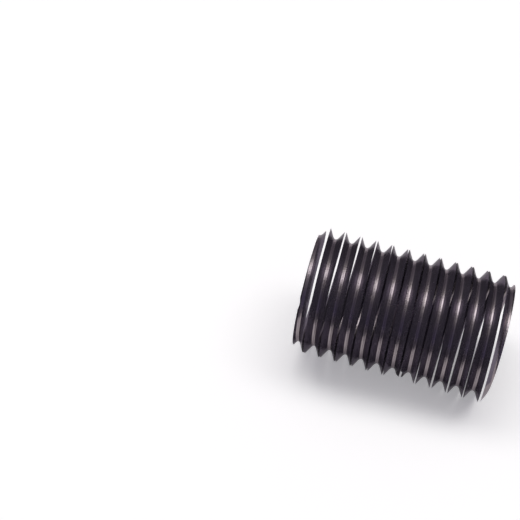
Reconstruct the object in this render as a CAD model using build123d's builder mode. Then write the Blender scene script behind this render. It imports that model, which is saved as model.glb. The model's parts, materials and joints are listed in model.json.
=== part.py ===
from build123d import *

import os
from math import atan2, cos, radians, sin, tan

# Banjo bolt for two fluid unions, M10 x 1.25, lying at rest.
#
# One bar-turned steel part: hexagon head, first land, first drilled neck, second land,
# second drilled neck and thread. An axial fluid bore, drilled from the thread end, joins
# the two ports. All sizes are millimetres.
#
# Stations along the bolt are measured from its sealing seat, the face under the head, and
# grow towards the thread. The bolt lies as it comes to rest: on the seat-side edge of one
# flat and on the end of the thread. World +Z is up, the thread points to +X, and the
# origin is the centre of the bounding box's underside.

# ---------------------------------------------------------------- driving sizes
# Hexagon head
hex_across_flats = 14.0
head_height = 5.3
head_turned_diameter = 15.6  # the bar size, which leaves the six corners turned
head_top_diameter = 13.5  # flat end face inside the outer chamfer
head_top_chamfer_length = 1.0
seat_diameter = 14.3  # sealing seat inside the inner chamfer
seat_chamfer_length = 0.75
head_corner_radius = 1.5  # where the two chamfers meet the turned corners
seat_fillet = 0.3  # root of the first land

# Lands, which centre the two banjo eyes
land_diameter = 9.9
first_land_length = 3.1
second_land_start = 7.7
second_land_length = 5.6
land_corner_radius = 0.15

# Necks, the drilled grooves between the lands and the thread
neck_diameter = 8.3
taper_angle = 45.0  # land down to neck, from the axis
shoulder_angle = 56.0  # first neck up to the second land, from the axis
neck_fillet = 0.35

# Thread, left as its plain major cylinder
thread_major_diameter = 9.8
thread_start = 17.0  # where the neck ends
shank_length = 32.8  # seat to tip
tip_face_diameter = 7.0
tip_chamfer_length = 0.7

# Fluid passages
port_diameter = 3.0
port_countersink_diameter = 3.5  # across the port, where it breaks the neck
port_countersink_angle = 60.0
first_port_station = 5.4
second_port_station = 15.5
port_turn = 60.0  # both ports stand square to the flat beside the top one
bore_diameter = 4.4
bore_point_angle = 118.0
bore_overrun = 0.4  # full bore past the far wall of the first port
bore_mouth_chamfer = 0.4

# Edges are picked by radius, to within this much.
radius_tolerance = 0.01

# ---------------------------------------------------------------- derived sizes
head_radius = head_turned_diameter / 2
head_top_radius = head_top_diameter / 2
seat_radius = seat_diameter / 2
land_radius = land_diameter / 2
neck_radius = neck_diameter / 2
thread_radius = thread_major_diameter / 2
bore_radius = bore_diameter / 2
land_depth = land_radius - neck_radius
taper_length = land_depth / tan(radians(taper_angle))
shoulder_length = land_depth / tan(radians(shoulder_angle))
thread_taper_length = (thread_radius - neck_radius) / tan(radians(taper_angle))
second_land_end = second_land_start + second_land_length
full_thread_end = shank_length - tip_chamfer_length
bore_bottom = first_port_station - port_diameter / 2 - bore_overrun
bore_point_length = bore_radius / tan(radians(bore_point_angle / 2))

# ---------------------------------------------------------------- the lie of the bolt
flat_distance = hex_across_flats / 2
seat_edge_drop = max(0.0, flat_distance - seat_radius)
seat_edge_station = -seat_edge_drop * seat_chamfer_length / (head_radius - seat_radius)
rest_span = full_thread_end - seat_edge_station
rest_tilt = atan2(flat_distance - thread_radius, rest_span)

seat_height = flat_distance * cos(rest_tilt) + seat_edge_station * sin(rest_tilt)
rear_reach = head_height * cos(rest_tilt) + head_top_radius * sin(rest_tilt)
front_reach = shank_length * cos(rest_tilt) + tip_face_diameter / 2 * sin(rest_tilt)
seat_centre = Vector((rear_reach - front_reach) / 2, 0, seat_height)
axis_direction = Vector(cos(rest_tilt), 0, -sin(rest_tilt))

bolt_axis = Axis(seat_centre, axis_direction)
profile_plane = Plane(origin=seat_centre, x_dir=axis_direction, z_dir=(0, -1, 0))
seat_plane = Plane(origin=seat_centre, x_dir=(0, 1, 0), z_dir=axis_direction)


def station(distance):
    """Return the plane across the bolt at a distance from the seat, facing the tip."""
    return seat_plane.offset(distance)


def port_plane(distance):
    """Return the plane through a port's centre, whose normal points out of the port."""
    along_port = Plane(
        origin=station(distance).origin,
        x_dir=axis_direction,
        z_dir=profile_plane.y_dir,
    )
    return along_port.rotated((port_turn, 0, 0))


def round_corners(profile, corners, radius):
    """Fillet the profile's corners that lie nearest to the given points."""
    for corner in corners:
        fillet(profile.vertices().sort_by_distance(corner)[0], radius=radius)


# ---------------------------------------------------------------- banjo bolt
with BuildPart() as banjo_bolt:
    # Hexagon bar, with its corners and both ends turned.
    with BuildSketch(station(-head_height)):
        RegularPolygon(radius=flat_distance, side_count=6, major_radius=False)
    extrude(amount=head_height)
    with BuildSketch(profile_plane) as head_profile:
        top_corner = (head_top_chamfer_length - head_height, head_radius)
        seat_corner = (-seat_chamfer_length, head_radius)
        with BuildLine():
            Polyline(
                (-head_height, 0),
                (-head_height, head_top_radius),
                top_corner,
                seat_corner,
                (0, seat_radius),
                (0, 0),
                close=True,
            )
        make_face()
        round_corners(head_profile, (top_corner, seat_corner), head_corner_radius)
    revolve(axis=bolt_axis, mode=Mode.INTERSECT)

    # Shank: lands, necks and the thread's blank, in one turned profile.
    with BuildSketch(profile_plane) as shank_profile:
        first_land_edge = (first_land_length, land_radius)
        second_land_edges = ((second_land_start, land_radius), (second_land_end, land_radius))
        neck_feet = (
            (first_land_length + taper_length, neck_radius),
            (second_land_start - shoulder_length, neck_radius),
            (second_land_end + taper_length, neck_radius),
        )
        with BuildLine():
            Polyline(
                (-seat_chamfer_length, 0),
                (-seat_chamfer_length, land_radius),
                first_land_edge,
                neck_feet[0],
                neck_feet[1],
                *second_land_edges,
                neck_feet[2],
                (thread_start, neck_radius),
                (thread_start + thread_taper_length, thread_radius),
                (full_thread_end, thread_radius),
                (shank_length, tip_face_diameter / 2),
                (shank_length, 0),
                close=True,
            )
        make_face()
        round_corners(shank_profile, (first_land_edge, *second_land_edges), land_corner_radius)
        round_corners(shank_profile, neck_feet, neck_fillet)
    revolve(axis=bolt_axis)

    # Fillet between the seat and the first land.
    seat_root = (
        banjo_bolt.edges()
        .filter_by(GeomType.CIRCLE)
        .filter_by(lambda edge: abs(edge.radius - land_radius) < radius_tolerance)
        .sort_by_distance(seat_centre)[0]
    )
    fillet(seat_root, radius=seat_fillet)

    # Ports, drilled from one side of each neck to the bolt's axis, and countersunk.
    for port_station in (first_port_station, second_port_station):
        with Locations(port_plane(port_station).offset(neck_radius)):
            CounterSinkHole(
                radius=port_diameter / 2,
                counter_sink_radius=port_countersink_diameter / 2,
                counter_sink_angle=port_countersink_angle,
                depth=neck_radius,
            )

    # Axial fluid bore, blind, from the thread end.
    with BuildSketch(profile_plane):
        with BuildLine():
            Polyline(
                (shank_length, 0),
                (shank_length, bore_radius + bore_mouth_chamfer),
                (shank_length - bore_mouth_chamfer, bore_radius),
                (bore_bottom, bore_radius),
                (bore_bottom - bore_point_length, 0),
                close=True,
            )
        make_face()
    revolve(axis=bolt_axis, mode=Mode.SUBTRACT)

banjo_bolt.part.label = "banjo_bolt"

os.makedirs("parts", exist_ok=True)
export_step(banjo_bolt.part, "parts/banjo_bolt.step")
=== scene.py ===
"""Looks of the banjo bolt: one turned, milled, drilled and threaded piece of blackened steel.

The piece is modelled in millimetres in the bolt's own frame, where X runs along the bolt's axis
from the sealing seat towards the thread and Z is square to the top flat. It is then laid in the
row frame, in metres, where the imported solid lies.
"""

import json
import logging
import math
from dataclasses import dataclass, field
from enum import Enum
from typing import Callable, Optional, Sequence

import bmesh
import bpy
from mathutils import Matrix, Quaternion, Vector


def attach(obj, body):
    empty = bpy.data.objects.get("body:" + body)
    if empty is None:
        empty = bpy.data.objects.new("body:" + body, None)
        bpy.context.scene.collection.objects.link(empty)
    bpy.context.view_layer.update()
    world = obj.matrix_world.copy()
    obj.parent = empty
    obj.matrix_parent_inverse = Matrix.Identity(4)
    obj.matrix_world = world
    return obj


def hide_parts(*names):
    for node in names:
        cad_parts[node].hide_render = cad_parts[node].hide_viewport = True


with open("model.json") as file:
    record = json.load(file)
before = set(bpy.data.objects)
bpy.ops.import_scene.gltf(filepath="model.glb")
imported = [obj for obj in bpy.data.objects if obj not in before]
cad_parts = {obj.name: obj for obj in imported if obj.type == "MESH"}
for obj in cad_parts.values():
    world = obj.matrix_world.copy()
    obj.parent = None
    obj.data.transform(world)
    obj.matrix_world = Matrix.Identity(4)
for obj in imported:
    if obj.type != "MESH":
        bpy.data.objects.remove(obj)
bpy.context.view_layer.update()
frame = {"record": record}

LOG = logging.getLogger("banjo_bolt")
METRES_PER_MM = 0.001


# ---------------------------------------------------------------------------- helpers
def srgb_to_linear(hex_code: str) -> tuple[float, float, float, float]:
    """Turn an sRGB hex colour into a linear RGBA colour.

    Args:
        hex_code: Six hexadecimal digits, such as "8c8590".

    Returns:
        The linear red, green, blue and an alpha of one.
    """
    channels = [int(hex_code[i : i + 2], 16) / 255 for i in (0, 2, 4)]
    linear = [c / 12.92 if c <= 0.04045 else ((c + 0.055) / 1.055) ** 2.4 for c in channels]
    return (*linear, 1.0)


def around(angle_deg: float, radius: float = 1.0, station: float = 0.0) -> Vector:
    """Give a point by its angle round the bolt.

    Args:
        angle_deg: Angle from the top flat's normal, turning towards -Y.
        radius: Distance from the axis.
        station: Distance from the seat along the axis.

    Returns:
        The point in the bolt's frame.
    """
    angle = math.radians(angle_deg)
    return Vector((station, -radius * math.sin(angle), radius * math.cos(angle)))


def angle_of(point: Vector) -> float:
    """Return a point's angle in degrees from the top flat's normal, turning towards -Y."""
    return math.degrees(math.atan2(-point.y, point.z))


def radius_of(point: Vector) -> float:
    """Return a point's distance from the bolt's axis."""
    return math.hypot(point.y, point.z)


def pick(obj: bpy.types.Object, kind: str, wanted: Callable[[object], bool]) -> int:
    """Select, in edit mode, the elements of a mesh that a test accepts.

    Args:
        obj: The object in edit mode.
        kind: "verts", "edges" or "faces".
        wanted: Test of one element.

    Returns:
        How many elements are selected.
    """
    modes = {"verts": "VERT", "edges": "EDGE", "faces": "FACE"}
    bpy.ops.mesh.select_mode(type=modes[kind])
    bpy.ops.mesh.select_all(action="DESELECT")
    mesh = bmesh.from_edit_mesh(obj.data)
    found = [element for element in getattr(mesh, kind) if wanted(element)]
    for element in found:
        element.select = True
    mesh.select_flush_mode()
    bmesh.update_edit_mesh(obj.data)
    return len(found)


def profile_chain(name: str, points: Sequence[tuple[float, float]]) -> bpy.types.Object:
    """Draw an open profile in the half plane above the axis, vertex by vertex.

    Args:
        name: Name of the new object.
        points: Station and radius of each corner, in order.

    Returns:
        The object, left in edit mode.
    """
    spots = [Vector((station, 0.0, radius)) for station, radius in points]
    bpy.ops.object.select_all(action="DESELECT")
    bpy.ops.mesh.primitive_plane_add(size=0.01, location=spots[0])
    obj = bpy.context.object
    obj.name = name
    bpy.ops.object.transform_apply(location=True, rotation=True, scale=True)
    bpy.ops.object.mode_set(mode="EDIT")
    bpy.ops.mesh.select_mode(type="VERT")
    bpy.ops.mesh.select_all(action="SELECT")
    bpy.ops.mesh.merge(type="CENTER")
    for before, after in zip(spots, spots[1:]):
        bpy.ops.mesh.extrude_region_move(TRANSFORM_OT_translate={"value": after - before})
    return obj


def round_corner(
    obj: bpy.types.Object, corner: tuple[float, float], radius: float, segments: int
) -> None:
    """Round one corner of a profile to an arc.

    Args:
        obj: The profile, in edit mode.
        corner: Station and radius of the corner.
        radius: Radius of the arc.
        segments: Straight pieces in the arc.
    """
    spot = Vector((corner[0], 0.0, corner[1]))
    near = 1e-3
    pick(obj, "verts", lambda v: (v.co - spot).length < near)
    mesh = bmesh.from_edit_mesh(obj.data)
    vertex = next(v for v in mesh.verts if v.select)
    arms = [(edge.other_vert(vertex).co - vertex.co) for edge in vertex.link_edges]
    setback = radius / math.tan(arms[0].angle(arms[1]) / 2)
    bpy.ops.mesh.bevel(offset=setback, segments=segments, affect="VERTICES", profile=0.5)


def spin_round_axis(obj: bpy.types.Object, steps: int) -> None:
    """Spin a profile once round the bolt's axis and close it to a solid.

    Args:
        obj: The profile, in edit mode.
        steps: Facets round the axis.
    """
    bpy.ops.mesh.select_all(action="SELECT")
    bpy.ops.mesh.spin(
        steps=steps, angle=2 * math.pi, center=(0, 0, 0), axis=(1, 0, 0), use_auto_merge=True
    )
    tidy_shell()


def tidy_shell(merge_distance: float = 1e-5) -> None:
    """Merge doubles and turn the faces of the mesh in edit mode outwards.

    Args:
        merge_distance: Vertices nearer than this become one.
    """
    bpy.ops.mesh.select_all(action="SELECT")
    bpy.ops.mesh.remove_doubles(threshold=merge_distance)
    bpy.ops.mesh.normals_make_consistent(inside=False)


def close_ends(obj: bpy.types.Object) -> None:
    """Fill the open ends of a swept tool.

    Args:
        obj: The tool, in edit mode.
    """
    pick(obj, "edges", lambda edge: edge.is_boundary)
    bpy.ops.mesh.fill_holes(sides=0)
    tidy_shell()


def object_mode() -> None:
    """Leave edit mode."""
    bpy.ops.object.mode_set(mode="OBJECT")


def machine(work: bpy.types.Object, tool: bpy.types.Object) -> None:
    """Cut the work with a tool's solid and clear the tool away.

    Args:
        work: The object that is cut.
        tool: The closed solid that cuts it.
    """
    bpy.ops.object.select_all(action="DESELECT")
    bpy.context.view_layer.objects.active = work
    work.select_set(True)
    modifier = work.modifiers.new(tool.name, "BOOLEAN")
    modifier.operation = "DIFFERENCE"
    modifier.solver = "EXACT"
    modifier.object = tool
    bpy.ops.object.modifier_apply(modifier=modifier.name)
    bpy.data.objects.remove(tool)


# ---------------------------------------------------------------------------- lie
@dataclass(frozen=True)
class Lie:
    """How the bolt lies in the row frame.

    Attributes:
        seat_centre: Centre of the sealing seat, in metres.
        direction: Unit vector along the bolt, towards the thread.
    """

    seat_centre: Vector
    direction: Vector

    @classmethod
    def from_record(cls, record: dict) -> "Lie":
        """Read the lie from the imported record's seat and first land.

        Args:
            record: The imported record.

        Returns:
            The lie of the bolt.
        """
        mounts = {mount["name"]: mount for mount in record["mounts"]}
        direction = Vector(mounts["first_land"]["axis"]).normalized()
        on_axis = Vector(mounts["first_land"]["pos_m"])
        on_seat = Vector(mounts["seat"]["pos_m"])
        return cls(on_axis + direction * (on_seat - on_axis).dot(direction), direction)

    @property
    def tilt(self) -> float:
        """Angle in radians by which the axis slopes down towards the thread."""
        return math.atan2(-self.direction.z, self.direction.x)

    def lay(self, obj: bpy.types.Object) -> None:
        """Lay a finished piece in the row frame, with its place in its mesh.

        Args:
            obj: The piece, in millimetres in the bolt's frame.
        """
        bpy.ops.object.select_all(action="DESELECT")
        bpy.context.view_layer.objects.active = obj
        obj.select_set(True)
        obj.scale = (METRES_PER_MM,) * 3
        obj.rotation_euler = (0.0, self.tilt, 0.0)
        obj.location = self.seat_centre
        bpy.ops.object.transform_apply(location=True, rotation=True, scale=True)


# ---------------------------------------------------------------------------- the bolt
@dataclass(frozen=True)
class HexagonHead:
    """Hexagon head cut from a round blank, all sizes in millimetres."""

    across_flats: float = 14.0
    height: float = 5.3
    turned_diameter: float = 15.596  # 15.6 less the solid's own facet, to stay in its box
    top_diameter: float = 13.5
    top_chamfer_length: float = 1.0
    seat_diameter: float = 14.3
    seat_chamfer_length: float = 0.75
    corner_radius: float = 1.5
    flat_edge_break: float = 0.06
    edge_break_start: float = 0.05  # from the seat, whose own edge is left crisp

    def outline(self) -> list[tuple[float, float]]:
        """Return the turned corners of the head, from the seat to the end face's centre."""
        rim = self.turned_diameter / 2
        return [
            (0.0, self.seat_diameter / 2),
            (-self.seat_chamfer_length, rim),
            (self.top_chamfer_length - self.height, rim),
            (-self.height, self.top_diameter / 2),
            (-self.height, 0.0),
        ]

    def round_corners(self, profile: bpy.types.Object) -> None:
        """Round the turned corners where they meet the two chamfers.

        Args:
            profile: The profile, in edit mode.
        """
        for corner in self.outline()[1:3]:
            round_corner(profile, corner, self.corner_radius, 8)

    def mill_flats(self, blank: bpy.types.Object) -> None:
        """Mill the six flats, then break their edges.

        Args:
            blank: The turned blank, in edit mode.
        """
        reach = self.across_flats / 2
        normals = [around(60.0 * side) for side in range(6)]
        for normal in normals:
            bpy.ops.mesh.select_all(action="SELECT")
            bpy.ops.mesh.bisect(
                plane_co=normal * reach,
                plane_no=normal,
                use_fill=True,
                clear_outer=True,
                threshold=1e-5,
            )

        def is_flat(face: bmesh.types.BMFace) -> bool:
            return any(
                face.normal.dot(n) > 0.9999 and abs(face.calc_center_median().dot(n) - reach) < 1e-3
                for n in normals
            )

        def is_broken(edge: bmesh.types.BMEdge) -> bool:
            clear_of_seat = all(vert.co.x < -self.edge_break_start for vert in edge.verts)
            return clear_of_seat and sum(is_flat(face) for face in edge.link_faces) == 1

        pick(blank, "edges", is_broken)
        bpy.ops.mesh.bevel(
            offset=self.flat_edge_break, segments=2, affect="EDGES", clamp_overlap=False
        )


@dataclass(frozen=True)
class Shank:
    """Lands, necks and the thread's blank, all sizes in millimetres from the seat."""

    land_diameter: float = 9.9
    first_land_length: float = 3.1
    second_land_start: float = 7.7
    second_land_length: float = 5.6
    land_corner_radius: float = 0.15
    neck_diameter: float = 8.3
    taper_angle: float = 45.0
    shoulder_angle: float = 56.0
    neck_fillet: float = 0.35
    seat_fillet: float = 0.3
    thread_diameter: float = 9.8
    thread_start: float = 17.0
    length: float = 32.8
    tip_face_diameter: float = 7.0
    tip_chamfer_length: float = 0.7

    @property
    def land_radius(self) -> float:
        """Radius of both lands."""
        return self.land_diameter / 2

    @property
    def neck_radius(self) -> float:
        """Radius of both necks."""
        return self.neck_diameter / 2

    @property
    def full_thread_end(self) -> float:
        """Station where the tip's chamfer starts."""
        return self.length - self.tip_chamfer_length

    @property
    def second_land_end(self) -> float:
        """Station of the second land's end towards the thread."""
        return self.second_land_start + self.second_land_length

    def feet(self) -> list[float]:
        """Return the stations where the necks meet the slopes of the lands."""
        depth = self.land_radius - self.neck_radius
        taper = depth / math.tan(math.radians(self.taper_angle))
        shoulder = depth / math.tan(math.radians(self.shoulder_angle))
        return [
            self.second_land_end + taper,
            self.second_land_start - shoulder,
            self.first_land_length + taper,
        ]

    def outline(self) -> list[tuple[float, float]]:
        """Return the turned corners of the shank, from the tip face to the seat."""
        thread_radius = self.thread_diameter / 2
        foot, shoulder_foot, first_foot = self.feet()
        rise = (thread_radius - self.neck_radius) / math.tan(math.radians(self.taper_angle))
        return [
            (self.length, self.tip_face_diameter / 2),
            (self.full_thread_end, thread_radius),
            (self.thread_start + rise, thread_radius),
            (self.thread_start, self.neck_radius),
            (foot, self.neck_radius),
            (self.second_land_end, self.land_radius),
            (self.second_land_start, self.land_radius),
            (shoulder_foot, self.neck_radius),
            (first_foot, self.neck_radius),
            (self.first_land_length, self.land_radius),
            (0.0, self.land_radius),
        ]

    def round_corners(self, profile: bpy.types.Object) -> None:
        """Round the lands' corners, the necks' feet and the root at the seat.

        Args:
            profile: The profile, in edit mode.
        """
        for station in (self.first_land_length, self.second_land_start, self.second_land_end):
            round_corner(profile, (station, self.land_radius), self.land_corner_radius, 5)
        for station in self.feet():
            round_corner(profile, (station, self.neck_radius), self.neck_fillet, 6)
        round_corner(profile, (0.0, self.land_radius), self.seat_fillet, 6)


@dataclass(frozen=True)
class FluidBore:
    """Blind axial bore from the thread end, all sizes in millimetres."""

    diameter: float = 4.4
    point_angle: float = 118.0
    bottom: float = 3.5
    mouth_chamfer: float = 0.4

    def outline(self, tip: float) -> list[tuple[float, float]]:
        """Return the bore's corners from its point to the tip face.

        Args:
            tip: Station of the tip face.

        Returns:
            Station and radius of each corner.
        """
        radius = self.diameter / 2
        point = radius / math.tan(math.radians(self.point_angle / 2))
        return [
            (self.bottom - point, 0.0),
            (self.bottom, radius),
            (tip - self.mouth_chamfer, radius),
            (tip, radius + self.mouth_chamfer),
        ]


@dataclass(frozen=True)
class Ports:
    """Countersunk ports, drilled from one side of each neck, in millimetres."""

    diameter: float = 3.0
    countersink_diameter: float = 3.5
    countersink_angle: float = 60.0
    stations: tuple[float, ...] = (5.4, 15.5)
    turn: float = 60.0
    drill_steps: int = 96
    clear_height: float = 1.5

    def is_wall(self, centre: Vector, normal: Vector) -> bool:
        """Tell whether a face is part of a port's wall or countersink.

        Args:
            centre: Centre of the face.
            normal: Its normal.

        Returns:
            True for a face inside a port that doesn't look straight out of it.
        """
        outward = around(self.turn)
        if normal.dot(outward) > math.cos(math.radians(self.countersink_angle / 2)):
            return False
        for station in self.stations:
            arm = centre - Vector((station, 0.0, 0.0))
            height = arm.dot(outward)
            if height > 0 and (arm - outward * height).length < self.countersink_diameter / 2:
                return True
        return False

    def drill(self, work: bpy.types.Object, neck_radius: float) -> None:
        """Drill and countersink every port as far as the bolt's axis.

        Args:
            work: The blank, in object mode.
            neck_radius: Radius of the surface that the countersink breaks.
        """
        radius, rim = self.diameter / 2, self.countersink_diameter / 2
        depth = (rim - radius) / math.tan(math.radians(self.countersink_angle / 2))
        above = neck_radius + self.clear_height
        corners = [
            (0.0, 0.0),
            (0.0, radius),
            (neck_radius - depth, radius),
            (neck_radius, rim),
            (above, rim),
            (above, 0.0),
        ]
        for station in self.stations:
            drill = profile_chain("drill", corners)
            spin_round_axis(drill, self.drill_steps)
            object_mode()
            drill.rotation_euler = (0.0, -math.pi / 2, 0.0)
            bpy.ops.object.transform_apply(location=True, rotation=True, scale=True)
            drill.rotation_euler = (math.radians(self.turn), 0.0, 0.0)
            drill.location = (station, 0.0, 0.0)
            bpy.ops.object.transform_apply(location=True, rotation=True, scale=True)
            machine(work, drill)


@dataclass(frozen=True)
class Thread:
    """Right-hand M10 x 1.25 thread, all sizes in millimetres.

    Attributes:
        crest_station: Station of a crest at crest_angle, which fixes the thread's phase.
        run_out_angle: Angle where the groove starts in the neck.
        flank_lean: A face of the thread that leans more than this along the axis is a flank.
    """

    pitch: float = 1.25
    major_diameter: float = 9.8
    flank_angle: float = 60.0
    crest_flat: float = 0.15
    root_radius: float = 0.25
    crest_station: float = 18.93
    crest_angle: float = -48.0
    run_out_angle: float = -70.0
    run_out_crests: float = 3.0
    turns: int = 15
    steps_per_turn: int = 144
    tool_clearance: float = 0.3
    flank_lean: float = 0.6

    def cut(self, work: bpy.types.Object) -> None:
        """Cut the helical groove into the blank.

        Args:
            work: The blank, in object mode.
        """
        machine(work, self._tool())

    def _tool(self) -> bpy.types.Object:
        """Return the helical tool, which fills the whole groove."""
        radius = self.major_diameter / 2
        half_width = (self.pitch - self.crest_flat) / 2
        slope = math.tan(math.radians(self.flank_angle / 2))
        point_radius = radius - half_width / slope
        above = radius + self.tool_clearance
        tool = profile_chain(
            "thread_tool",
            [
                (-half_width, above),
                (-half_width, radius),
                (0.0, point_radius),
                (half_width, radius),
                (half_width, above),
            ],
        )
        round_corner(tool, (0.0, point_radius), self.root_radius, 4)
        bpy.ops.mesh.select_all(action="SELECT")
        bpy.ops.mesh.edge_face_add()
        bpy.ops.mesh.select_all(action="SELECT")
        start_angle = self.run_out_angle
        groove = (
            self.crest_station
            + self.pitch * (start_angle - self.crest_angle) / 360
            - self.pitch * (self.run_out_crests - 0.5)
        )
        bpy.ops.transform.translate(value=(groove, 0, 0))
        bpy.ops.transform.rotate(
            value=-math.radians(start_angle), orient_axis="X", center_override=(0, 0, 0)
        )
        object_mode()
        screw = tool.modifiers.new("helix", "SCREW")
        screw.axis = "X"
        screw.angle = 2 * math.pi
        screw.steps = screw.render_steps = self.steps_per_turn
        screw.screw_offset = self.pitch
        screw.iterations = self.turns
        screw.use_merge_vertices = False
        bpy.ops.object.modifier_apply(modifier=screw.name)
        bpy.ops.object.mode_set(mode="EDIT")
        close_ends(tool)
        object_mode()
        return tool


@dataclass(frozen=True)
class NeckMark:
    """Shallow ring that the threading tool rubbed into one side of the second neck.

    Attributes:
        start: Station where the ring starts.
        width: Width of the ring.
        depth: Depth at its deepest.
        angle: Angle round the bolt of its deepest place.
        half_reach: Angle from there to where it fades out.
    """

    start: float = 16.07
    width: float = 0.42
    depth: float = 0.05
    angle: float = -10.0
    half_reach: float = 55.0
    clear_height: float = 0.6
    steps: int = 192

    def cut(self, work: bpy.types.Object, neck_radius: float) -> None:
        """Cut the mark with a ring that stands off the bolt's centre.

        Args:
            work: The bolt, in object mode.
            neck_radius: Radius of the neck.
        """
        offset = self.depth / (1 - math.cos(math.radians(self.half_reach)))
        inner = neck_radius + offset - self.depth
        outer = inner + self.clear_height
        end = self.start + self.width
        corners = [
            (self.start, outer),
            (self.start, inner + self.depth),
            (self.start + self.depth, inner),
            (end - self.depth, inner),
            (end, inner + self.depth),
            (end, outer),
            (self.start, outer),
        ]
        ring = profile_chain("neck_mark_tool", corners)
        spin_round_axis(ring, self.steps)
        object_mode()
        ring.location = -around(self.angle) * offset
        bpy.ops.object.transform_apply(location=True, rotation=True, scale=True)
        machine(work, ring)


@dataclass(frozen=True)
class DentedCrest:
    """Short stretch of one crest that is knocked flat, in millimetres and degrees."""

    start: float = 25.2
    end: float = 26.25
    angle: float = 122.0
    flat_radius: float = 4.5
    length: float = 4.5

    def cut(self, work: bpy.types.Object) -> None:
        """Flatten the crest with a block.

        Args:
            work: The bolt, in object mode.
        """
        bpy.ops.object.select_all(action="DESELECT")
        bpy.ops.mesh.primitive_cube_add(size=1.0)
        block = bpy.context.object
        block.name = "dent_tool"
        block.scale = (self.end - self.start, self.length, 1.0)
        block.location = ((self.start + self.end) / 2, 0.0, self.flat_radius + 0.5)
        bpy.ops.object.transform_apply(location=True, rotation=True, scale=True)
        block.rotation_euler = (math.radians(self.angle), 0.0, 0.0)
        bpy.ops.object.transform_apply(location=True, rotation=True, scale=True)
        machine(work, block)


# ---------------------------------------------------------------------------- finishes
def add_node(
    tree: bpy.types.NodeTree,
    kind: str,
    settings: Optional[dict] = None,
    values: Optional[dict] = None,
    links: Optional[dict] = None,
) -> bpy.types.Node:
    """Add a node with its settings, socket values and links.

    Args:
        tree: The node tree.
        kind: Blender's name of the node type.
        settings: Attributes to set on the node.
        values: Default value for each input socket, by name or index.
        links: Output socket that feeds each input socket, by name or index.

    Returns:
        The new node.
    """
    node = tree.nodes.new(kind)
    for name, value in (settings or {}).items():
        setattr(node, name, value)
    for socket, value in (values or {}).items():
        node.inputs[socket].default_value = value
    for socket, source in (links or {}).items():
        tree.links.new(source, node.inputs[socket])
    return node


@dataclass(frozen=True)
class Speck:
    """A grain of pale dust or a nick that shows bare steel, in millimetres and degrees."""

    station: float
    angle: float
    radius: float
    size: float = 0.14

    def mask(self, tree: bpy.types.NodeTree, spot: bpy.types.NodeSocket) -> bpy.types.NodeSocket:
        """Mark the points within the speck.

        Args:
            tree: The node tree.
            spot: Position in the bolt's frame.

        Returns:
            One inside the speck and zero outside.
        """
        gap = add_node(
            tree,
            "ShaderNodeVectorMath",
            {"operation": "DISTANCE"},
            {1: around(self.angle, self.radius, self.station)},
            {0: spot},
        )
        inside = add_node(
            tree,
            "ShaderNodeMath",
            {"operation": "LESS_THAN"},
            {1: self.size / 2},
            {0: gap.outputs["Value"]},
        )
        return inside.outputs["Value"]


@dataclass(frozen=True)
class PortRimHighlight:
    """A painted highlight on one stretch of a countersink's rim, speckled and in a pale colour.

    Attributes:
        station: Station of the port.
        turn: Angle of the port round the bolt.
        foot_height: Height along the port where its countersink starts.
        foot_radius: Radius of the port there.
        half_angle: Half the countersink's angle.
        width: Width of the painted band.
        lean: Direction of the painted stretch, from the port's far side towards the head.
        reach: How far along that direction a point must lie.
        grain: Size of one speck of the painted highlight.
    """

    station: float = 5.4
    turn: float = 60.0
    foot_height: float = 3.717
    foot_radius: float = 1.5
    half_angle: float = 30.0
    width: float = 0.12
    lean: float = 10.0
    reach: float = 0.8
    grain: float = 0.07

    def mask(self, tree: bpy.types.NodeTree, spot: bpy.types.NodeSocket) -> bpy.types.NodeSocket:
        """Mark the specks of the painted highlight just outside the countersink.

        Args:
            tree: The node tree.
            spot: Position in the bolt's frame.

        Returns:
            One on a speck of the painted highlight and zero elsewhere.
        """
        outward = around(self.turn)
        lean = math.radians(self.lean)
        stretch = around(self.turn + 90.0) * math.cos(lean) - Vector((math.sin(lean), 0.0, 0.0))
        arm = add_node(
            tree,
            "ShaderNodeVectorMath",
            {"operation": "SUBTRACT"},
            {1: (self.station, 0.0, 0.0)},
            {0: spot},
        ).outputs["Vector"]
        height = add_node(
            tree, "ShaderNodeVectorMath", {"operation": "DOT_PRODUCT"}, {1: outward}, {0: arm}
        ).outputs["Value"]
        rise = add_node(
            tree, "ShaderNodeVectorMath", {"operation": "SCALE"}, {0: outward}, {"Scale": height}
        ).outputs["Vector"]
        across = add_node(
            tree, "ShaderNodeVectorMath", {"operation": "SUBTRACT"}, links={0: arm, 1: rise}
        ).outputs["Vector"]
        distance = add_node(
            tree, "ShaderNodeVectorMath", {"operation": "LENGTH"}, links={0: across}
        ).outputs["Value"]
        along = add_node(
            tree, "ShaderNodeVectorMath", {"operation": "DOT_PRODUCT"}, {1: stretch}, {0: across}
        ).outputs["Value"]
        slope = math.tan(math.radians(self.half_angle))
        cone = add_node(
            tree,
            "ShaderNodeMath",
            {"operation": "MULTIPLY_ADD"},
            {1: slope, 2: self.foot_radius + self.width - self.foot_height * slope},
            {0: height},
        ).outputs["Value"]
        highlight_speckle = add_node(
            tree,
            "ShaderNodeTexNoise",
            {"noise_dimensions": "3D"},
            {"Scale": 1 / self.grain, "Detail": 1.0},
            {"Vector": spot},
        ).outputs["Fac"]
        near = add_node(
            tree, "ShaderNodeMath", {"operation": "LESS_THAN"}, links={0: distance, 1: cone}
        ).outputs["Value"]
        below = add_node(
            tree, "ShaderNodeMath", {"operation": "GREATER_THAN"}, {1: self.reach}, {0: along}
        ).outputs["Value"]
        # The painted highlight takes the specks where the noise is high.
        bare = add_node(
            tree, "ShaderNodeMath", {"operation": "GREATER_THAN"}, {1: 0.52}, {0: highlight_speckle}
        ).outputs["Value"]
        band = add_node(
            tree, "ShaderNodeMath", {"operation": "MULTIPLY"}, links={0: near, 1: below}
        ).outputs["Value"]
        return add_node(
            tree, "ShaderNodeMath", {"operation": "MULTIPLY"}, links={0: band, 1: bare}
        ).outputs["Value"]


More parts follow.
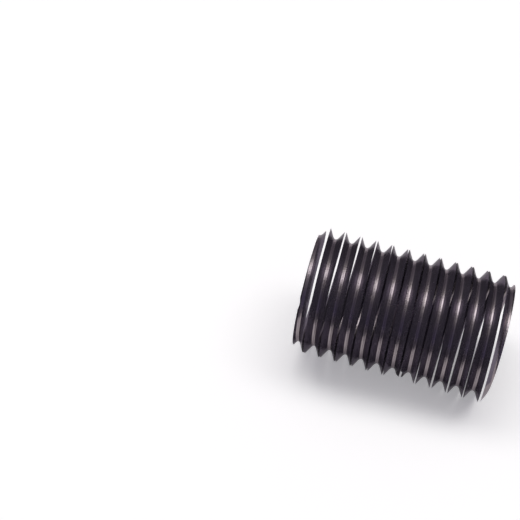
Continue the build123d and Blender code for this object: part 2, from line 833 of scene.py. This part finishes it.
# Grains of pale dust on the front of the bolt, and the nick beside the second port.
DUST = (
    Speck(2.69, 53.3, 4.95),
    Speck(12.74, 59.7, 4.95),
    Speck(17.13, 72.9, 4.15, 0.25),
    Speck(18.03, 58.2, 4.5, 0.16),
    Speck(24.36, 51.0, 4.6),
    Speck(26.92, 54.5, 4.5, 0.2),
    Speck(27.01, 62.3, 4.5),
    Speck(30.67, 47.7, 4.5, 0.16),
)
# Painted highlight on one speckled stretch of the first port's rim.
RIM_HIGHLIGHT = PortRimHighlight()


@dataclass(frozen=True)
class BlackenedSteel:
    """Free-cutting steel with a thin black oxide, which gives a dark, slightly violet metal.

    Attributes:
        name: Name of the finish, for how the surface was made.
        colour: sRGB hex of the oxide where it is even.
        worn_colour: sRGB hex of the oxide where it is thin.
        edge_tint: sRGB hex of what the film lets through at a glancing angle.
        metallic: Share of the light that the metal under the oxide gives back.
        roughness: Mean roughness.
        mark_spacing: Mean spacing of the tool marks, in millimetres.
        mark_length: Length of one mark across that direction, in millimetres.
        mark_depth: Depth of the tool marks, in millimetres.
        across_axis: True if the marks run round the axis, False if they run along it.
        streak_length: Length of the rubbed streaks along the axis, in millimetres.
        streak_width: Their width, in millimetres.
        streak_depth: Their depth, in millimetres.
        dust_and_highlight_colour: sRGB hex of dust, of the bare steel in the nick, and of the
            painted highlight on a port's rim.
        specks: Small pale spots.
        rim: Painted highlight on a port's rim.
    """

    name: str
    colour: str = "8c8388"
    worn_colour: str = "968d8e"
    edge_tint: str = "c8c4c8"
    metallic: float = 1.0
    roughness: float = 0.25
    mark_spacing: float = 0.1
    mark_length: float = 6.0
    mark_depth: float = 0.0012
    across_axis: bool = True
    streak_length: float = 0.85
    streak_width: float = 0.14
    streak_depth: float = 0.007
    dust_and_highlight_colour: str = "dcd7d9"
    specks: tuple[Speck, ...] = ()
    rim: Optional[PortRimHighlight] = None

    def build(self, lie: Lie) -> bpy.types.Material:
        """Build the material.

        Args:
            lie: How the bolt lies, which turns the pattern with it.

        Returns:
            The material.
        """
        material = bpy.data.materials.new(self.name)
        material.use_nodes = True
        tree = material.node_tree
        tree.nodes.clear()
        output = add_node(tree, "ShaderNodeOutputMaterial")
        shader = add_node(
            tree,
            "ShaderNodeBsdfPrincipled",
            values={
                "Metallic": self.metallic,
                "Specular Tint": srgb_to_linear(self.edge_tint),
            },
        )
        tree.links.new(shader.outputs["BSDF"], output.inputs["Surface"])
        place = add_node(tree, "ShaderNodeTexCoord")
        # Position in millimetres in the bolt's own frame.
        bolt = add_node(
            tree,
            "ShaderNodeMapping",
            {"vector_type": "TEXTURE"},
            {
                "Location": lie.seat_centre,
                "Rotation": (0.0, lie.tilt, 0.0),
                "Scale": (METRES_PER_MM,) * 3,
            },
            {"Vector": place.outputs["Object"]},
        )
        fine, long = 1 / self.mark_spacing, 1 / self.mark_length
        marks_scale = (fine, long, long) if self.across_axis else (long, fine, fine)
        stretched = add_node(
            tree,
            "ShaderNodeMapping",
            {"vector_type": "POINT"},
            {"Scale": marks_scale},
            {"Vector": bolt.outputs["Vector"]},
        )
        marks = add_node(
            tree,
            "ShaderNodeTexNoise",
            {"noise_dimensions": "3D"},
            {"Scale": 1.0, "Detail": 2.0, "Roughness": 0.6},
            {"Vector": stretched.outputs["Vector"]},
        )
        clouds = add_node(
            tree,
            "ShaderNodeTexNoise",
            {"noise_dimensions": "3D"},
            {"Scale": 0.7, "Detail": 4.0, "Roughness": 0.65},
            {"Vector": bolt.outputs["Vector"]},
        )
        rubbed = add_node(
            tree,
            "ShaderNodeMapping",
            {"vector_type": "POINT"},
            {"Scale": (1 / self.streak_length, 1 / self.streak_width, 1 / self.streak_width)},
            {"Vector": bolt.outputs["Vector"]},
        )
        streaks = add_node(
            tree,
            "ShaderNodeTexNoise",
            {"noise_dimensions": "3D"},
            {"Scale": 1.0, "Detail": 1.0},
            {"Vector": rubbed.outputs["Vector"]},
        )
        rubbing = add_node(
            tree,
            "ShaderNodeBump",
            values={"Strength": 1.0, "Distance": self.streak_depth * METRES_PER_MM},
            links={"Height": streaks.outputs["Fac"]},
        )
        bump = add_node(
            tree,
            "ShaderNodeBump",
            values={"Strength": 1.0, "Distance": self.mark_depth * METRES_PER_MM},
            links={"Height": marks.outputs["Fac"], "Normal": rubbing.outputs["Normal"]},
        )
        tone = add_node(
            tree,
            "ShaderNodeMapRange",
            values={"From Min": 0.35, "From Max": 0.7},
            links={"Value": clouds.outputs["Fac"]},
        )
        colour = add_node(
            tree,
            "ShaderNodeMix",
            {"data_type": "RGBA"},
        )
        colour.inputs[6].default_value = srgb_to_linear(self.colour)
        colour.inputs[7].default_value = srgb_to_linear(self.worn_colour)
        tree.links.new(tone.outputs["Result"], colour.inputs[0])
        gloss = add_node(
            tree,
            "ShaderNodeMapRange",
            values={
                "From Min": 0.3,
                "From Max": 0.7,
                "To Min": self.roughness - 0.04,
                "To Max": self.roughness + 0.04,
            },
            links={"Value": clouds.outputs["Fac"]},
        )
        tint = colour.outputs[2]
        # Dust, the nick and the painted highlight on a port's rim take the pale colour and lose the
        # metal's gloss.
        masks = [spot.mask(tree, bolt.outputs["Vector"]) for spot in self.specks]
        if self.rim is not None:
            masks.append(self.rim.mask(tree, bolt.outputs["Vector"]))
        for mask in masks[1:]:
            masks[0] = add_node(
                tree, "ShaderNodeMath", {"operation": "MAXIMUM"}, links={0: masks[0], 1: mask}
            ).outputs["Value"]
        if masks:
            spotted = add_node(tree, "ShaderNodeMix", {"data_type": "RGBA"})
            spotted.inputs[7].default_value = srgb_to_linear(self.dust_and_highlight_colour)
            tree.links.new(masks[0], spotted.inputs[0])
            tree.links.new(tint, spotted.inputs[6])
            tint = spotted.outputs[2]
            dulled = add_node(
                tree,
                "ShaderNodeMath",
                {"operation": "MULTIPLY_ADD"},
                {1: -self.metallic, 2: self.metallic},
                {0: masks[0]},
            )
            tree.links.new(dulled.outputs["Value"], shader.inputs["Metallic"])
        tree.links.new(tint, shader.inputs["Base Color"])
        tree.links.new(gloss.outputs["Result"], shader.inputs["Roughness"])
        tree.links.new(bump.outputs["Normal"], shader.inputs["Normal"])
        return material


class Surface(Enum):
    """Kinds of surface, in the order of the bolt's material slots."""

    TURNED = 0
    MILLED = 1
    CREST = 2
    FLANK = 3
    DRILLED = 4


@dataclass
class Bolt:
    """The whole bolt, made in the order in which it is machined."""

    lie: Lie
    head: HexagonHead = field(default_factory=HexagonHead)
    shank: Shank = field(default_factory=Shank)
    bore: FluidBore = field(default_factory=FluidBore)
    ports: Ports = field(default_factory=Ports)
    thread: Thread = field(default_factory=Thread)
    neck_mark: NeckMark = field(default_factory=NeckMark)
    dent: DentedCrest = field(default_factory=DentedCrest)
    steps: int = 240

    def build(self) -> bpy.types.Object:
        """Turn, mill, drill and thread the bolt.

        Returns:
            The finished piece, in the bolt's frame.
        """
        outline = self.bore.outline(self.shank.length) + self.shank.outline() + self.head.outline()
        bolt = profile_chain("machined_banjo_bolt", outline)
        self.shank.round_corners(bolt)
        self.head.round_corners(bolt)
        spin_round_axis(bolt, self.steps)
        self.head.mill_flats(bolt)
        object_mode()
        self.ports.drill(bolt, self.shank.neck_radius)
        self.neck_mark.cut(bolt, self.shank.neck_radius)
        self.thread.cut(bolt)
        self.dent.cut(bolt)
        self.smooth(bolt)
        return bolt

    def smooth(self, bolt: bpy.types.Object) -> None:
        """Smooth the turned faces and keep the edges crisp.

        Args:
            bolt: The piece, in object mode.
        """
        bpy.ops.object.select_all(action="DESELECT")
        bolt.select_set(True)
        bpy.context.view_layer.objects.active = bolt
        bpy.ops.object.mode_set(mode="EDIT")
        tidy_shell(1e-4)
        object_mode()
        bpy.ops.object.shade_smooth_by_angle(angle=math.radians(28))
        weighted = bolt.modifiers.new("flat_faces_stay_flat", "WEIGHTED_NORMAL")
        weighted.keep_sharp = True
        bpy.ops.object.modifier_apply(modifier=weighted.name)

    def dress(self, bolt: bpy.types.Object) -> None:
        """Give each face the finish of the tool that made it, with painted shade on the thread's
        flanks and in the holes.

        Args:
            bolt: The piece, in the bolt's frame.
        """
        finishes = [
            BlackenedSteel("turned_blackened_steel", specks=DUST, rim=RIM_HIGHLIGHT),
            BlackenedSteel(
                "milled_blackened_steel",
                edge_tint="7c767e",
                roughness=0.27,
                mark_spacing=0.25,
                mark_length=3.0,
                mark_depth=0.001,
                across_axis=False,
            ),
            BlackenedSteel("rolled_blackened_crests", mark_depth=0.0005, specks=DUST),
            # The flanks' darker colour, worn colour and edge tint are painted shade for the
            # thread's grooves.
            BlackenedSteel(
                "cut_blackened_flanks",
                colour="746e78",
                worn_colour="7e7782",
                edge_tint="8c868c",
                metallic=0.8,
                mark_depth=0.0005,
                specks=DUST,
            ),
        ]
        for finish in finishes:
            bolt.data.materials.append(finish.build(self.lie))
        # The bore and the ports take a darker matt colour, which is painted shade for the inside of
        # the holes.
        bolt.data.materials.append(matt_material("dark_scale_in_passages", "5d5666"))
        for polygon in bolt.data.polygons:
            polygon.material_index = self.surface(polygon).value

    def surface(self, polygon: bpy.types.MeshPolygon) -> "Surface":
        """Tell which tool made a face.

        Args:
            polygon: The face, in the bolt's frame.

        Returns:
            The kind of surface.
        """
        centre, normal = polygon.center, polygon.normal
        reach = self.head.across_flats / 2
        flats = (around(60.0 * side) for side in range(6))
        if any(normal.dot(n) > 0.999 and centre.dot(n) > reach - 0.01 for n in flats):
            return Surface.MILLED
        in_bore = radius_of(centre) < self.bore.diameter / 2 + 0.02
        if in_bore or self.ports.is_wall(centre, normal):
            return Surface.DRILLED
        if centre.x < self.shank.thread_start - 0.8:
            return Surface.TURNED
        if abs(normal.x) > self.thread.flank_lean and centre.x < self.shank.full_thread_end:
            return Surface.FLANK
        return Surface.CREST


# ---------------------------------------------------------------------------- studio
def matt_material(name: str, colour: str) -> bpy.types.Material:
    """Make a plain matt material for the studio.

    Args:
        name: Name of the material.
        colour: Its sRGB hex colour.

    Returns:
        The material.
    """
    material = bpy.data.materials.new(name)
    material.use_nodes = True
    tree = material.node_tree
    tree.nodes.clear()
    output = add_node(tree, "ShaderNodeOutputMaterial")
    shader = add_node(
        tree,
        "ShaderNodeBsdfPrincipled",
        values={"Base Color": srgb_to_linear(colour), "Roughness": 0.9},
    )
    tree.links.new(shader.outputs["BSDF"], output.inputs["Surface"])
    return material


@dataclass(frozen=True)
class StudioFloor:
    """Pale matt floor under the bolt.

    Attributes:
        side: Side of the square floor, in metres.
        colour: sRGB hex of the paper.
        lift: Brightness added to the paper where it is seen, so that it reads as white.
    """

    side: float = 3.0
    colour: str = "f5f4f2"
    lift: float = 0.3

    def lift_to_white(self, tree: bpy.types.NodeTree) -> None:
        """Let the paper read as white where it is seen, directly or in metal or glass.

        Args:
            tree: The paper's node tree.
        """
        path = add_node(tree, "ShaderNodeLightPath")
        direct = add_node(
            tree,
            "ShaderNodeMath",
            {"operation": "MAXIMUM"},
            links={0: path.outputs["Is Camera Ray"], 1: path.outputs["Is Glossy Ray"]},
        )
        seen = add_node(
            tree,
            "ShaderNodeMath",
            {"operation": "MAXIMUM"},
            links={0: direct.outputs["Value"], 1: path.outputs["Is Transmission Ray"]},
        )
        lifted = add_node(
            tree,
            "ShaderNodeMath",
            {"operation": "MULTIPLY"},
            {1: self.lift},
            {0: seen.outputs["Value"]},
        )
        shader = tree.nodes["Principled BSDF"]
        shader.inputs["Emission Color"].default_value = (1.0, 1.0, 1.0, 1.0)
        tree.links.new(lifted.outputs["Value"], shader.inputs["Emission Strength"])

    def build(self) -> bpy.types.Object:
        """Lay the floor.

        Returns:
            The floor.
        """
        bpy.ops.object.select_all(action="DESELECT")
        bpy.ops.mesh.primitive_plane_add(size=self.side, location=(0, 0, 0))
        floor = bpy.context.object
        floor.name = "studio_floor"
        paper = matt_material("matt_white_paper", self.colour)
        self.lift_to_white(paper.node_tree)
        floor.data.materials.append(paper)
        return floor


@dataclass(frozen=True)
class DarkSurround:
    """Dark card round the picture, with a window for it, which only reflections show.

    It stands for the dark room past the edge of the paper and keeps the light band on the
    bolt's underside narrow. All sizes are metres.
    """

    window: tuple[float, float] = (0.068, 0.07)
    window_centre: tuple[float, float] = (-0.002, 0.0155)
    spread: float = 10.0
    turn: float = 15.0
    height: float = 0.0004
    colour: str = "6f6c76"

    def build(self) -> bpy.types.Object:
        """Lay the card.

        Returns:
            The card.
        """
        bpy.ops.object.select_all(action="DESELECT")
        bpy.ops.mesh.primitive_plane_add(size=1.0)
        card = bpy.context.object
        card.name = "dark_surround"
        card.scale = (*self.window, 1.0)
        card.location = (*self.window_centre, self.height)
        bpy.ops.object.transform_apply(location=True, rotation=True, scale=True)
        card.rotation_euler = (0.0, 0.0, math.radians(self.turn))
        bpy.ops.object.transform_apply(location=True, rotation=True, scale=True)
        bpy.ops.object.mode_set(mode="EDIT")
        bpy.ops.mesh.select_mode(type="EDGE")
        bpy.ops.mesh.select_all(action="SELECT")
        bpy.ops.mesh.extrude_edges_move()
        bpy.ops.transform.resize(value=(self.spread, self.spread, 1.0))
        window_area = self.window[0] * self.window[1]
        pick(card, "faces", lambda face: abs(face.calc_area() - window_area) < 1e-6)
        bpy.ops.mesh.delete(type="FACE")
        object_mode()
        card.data.materials.append(matt_material("matt_grey_card", self.colour))
        card.visible_camera = card.visible_diffuse = card.visible_shadow = False
        return card


@dataclass(frozen=True)
class SoftLamp:
    """A rectangular soft box.

    Attributes:
        name: Name of the lamp.
        place: Its centre, in metres.
        size: Its sides along and across, in metres.
        brightness: Its radiance.
        aim: Point that it faces, in metres.
    """

    name: str
    place: tuple[float, float, float]
    size: tuple[float, float]
    brightness: float
    aim: tuple[float, float, float] = (0.0, 0.0, 0.006)
    tint: tuple[float, float, float] = (1.0, 1.0, 1.0)

    def build(self) -> bpy.types.Object:
        """Hang the lamp.

        Returns:
            The lamp.
        """
        data = bpy.data.lights.new(self.name, "AREA")
        data.shape = "RECTANGLE"
        data.size, data.size_y = self.size
        data.energy = self.brightness * math.pi * self.size[0] * self.size[1]
        data.color = self.tint
        lamp = bpy.data.objects.new(self.name, data)
        bpy.context.scene.collection.objects.link(lamp)
        lamp.location = self.place
        towards = Vector(self.aim) - Vector(self.place)
        lamp.rotation_euler = towards.to_track_quat("-Z", "Y").to_euler()
        return lamp


@dataclass(frozen=True)
class RoomLight:
    """Light of the room: bands along the bolt overhead, and dark walls past its two ends.

    Attributes:
        bands: Angle from the front horizon over the top, in degrees, and linear colour there.
        end_colour: Linear colour of the walls past the head and the thread.
    """

    bands: tuple[tuple[float, tuple[float, float, float]], ...] = (
        (0.0, (0.155, 0.145, 0.26)),
        (36.0, (0.18, 0.17, 0.25)),
        (54.0, (0.28, 0.27, 0.31)),
        (65.0, (0.5, 0.49, 0.5)),
        (115.0, (0.5, 0.49, 0.48)),
        (136.0, (0.25, 0.235, 0.275)),
        (180.0, (0.19, 0.175, 0.21)),
    )
    end_colour: tuple[float, float, float] = (0.1, 0.085, 0.15)

    def build(self) -> None:
        """Set the world's light."""
        world = bpy.data.worlds.new("studio_room")
        world.use_nodes = True
        tree = world.node_tree
        tree.nodes.clear()
        output = add_node(tree, "ShaderNodeOutputWorld")
        place = add_node(tree, "ShaderNodeTexCoord")
        split = add_node(
            tree, "ShaderNodeSeparateXYZ", links={"Vector": place.outputs["Generated"]}
        )
        forward = add_node(
            tree,
            "ShaderNodeMath",
            {"operation": "MULTIPLY"},
            {1: -1.0},
            {0: split.outputs["Y"]},
        )
        angle = add_node(
            tree,
            "ShaderNodeMath",
            {"operation": "ARCTAN2"},
            links={0: split.outputs["Z"], 1: forward.outputs["Value"]},
        )
        share = add_node(
            tree,
            "ShaderNodeMath",
            {"operation": "DIVIDE"},
            {1: math.pi},
            {0: angle.outputs["Value"]},
        )
        ramp = add_node(tree, "ShaderNodeValToRGB", links={"Fac": share.outputs["Value"]})
        elements = ramp.color_ramp.elements
        while len(elements) < len(self.bands):
            elements.new(0.5)
        for element, (degrees, colour) in zip(elements, self.bands):
            element.position = degrees / 180.0
            element.color = (*colour, 1.0)
        along = add_node(
            tree,
            "ShaderNodeMath",
            {"operation": "ABSOLUTE"},
            links={0: split.outputs["X"]},
        )
        lean = add_node(
            tree,
            "ShaderNodeMapRange",
            {"interpolation_type": "SMOOTHSTEP"},
            {"From Min": 0.35, "From Max": 0.85},
            {"Value": along.outputs["Value"]},
        )
        colour = add_node(tree, "ShaderNodeMix", {"data_type": "RGBA"})
        colour.inputs[7].default_value = (*self.end_colour, 1.0)
        tree.links.new(lean.outputs["Result"], colour.inputs[0])
        tree.links.new(ramp.outputs["Color"], colour.inputs[6])
        light = add_node(tree, "ShaderNodeBackground", links={"Color": colour.outputs[2]})
        tree.links.new(light.outputs["Background"], output.inputs["Surface"])
        bpy.context.scene.world = world


@dataclass(frozen=True)
class ViewCamera:
    """Camera that looks down on the bolt from the front.

    Attributes:
        place: Its place, in millimetres.
        target: A point on its line of sight, in millimetres.
        roll: Its turn about the line of sight, in degrees.
        focal_length: Its focal length in pixels of a 520 pixel wide picture.
    """

    place: tuple[float, float, float] = (15.665, -68.778, 83.266)
    target: tuple[float, float, float] = (-0.387, 0.319, 7.373)
    roll: float = 3.3282
    focal_length: float = 1350.582
    picture_width: float = 520.0
    sensor_width: float = 36.0

    def build(self) -> bpy.types.Object:
        """Set up the camera.

        Returns:
            The camera.
        """
        data = bpy.data.cameras.new("view_camera")
        data.sensor_width = self.sensor_width
        data.lens = self.focal_length / self.picture_width * self.sensor_width
        data.clip_start, data.clip_end = 0.005, 20.0
        camera = bpy.data.objects.new("view_camera", data)
        bpy.context.scene.collection.objects.link(camera)
        place = Vector(self.place) * METRES_PER_MM
        towards = Vector(self.target) * METRES_PER_MM - place
        camera.location = place
        camera.rotation_mode = "QUATERNION"
        camera.rotation_quaternion = towards.to_track_quat("-Z", "Y") @ Quaternion(
            (0, 0, 1), math.radians(self.roll)
        )
        bpy.context.scene.camera = camera
        return camera


def main() -> None:
    """Build the bolt, its studio and the camera, in that order."""
    logging.basicConfig(level=logging.INFO, format="%(name)s: %(message)s")
    scene = bpy.context.scene
    scene.view_settings.view_transform = "Standard"

    bolt = Bolt(Lie.from_record(frame["record"]))
    piece = bolt.build()
    bolt.dress(piece)
    bolt.lie.lay(piece)
    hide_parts("banjo_bolt")
    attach(piece, "root")
    LOG.info("%s: %d faces", piece.name, len(piece.data.polygons))

    StudioFloor().build()
    DarkSurround().build()
    SoftLamp("overhead_wide", (0.0, 0.055, 0.8), (1.2, 0.5), 1.5).build()
    SoftLamp("overhead_core", (0.0, 0.055, 0.79), (1.2, 0.26), 1.6).build()
    RoomLight().build()
    ViewCamera().build()


if __name__ == "__main__":
    main()
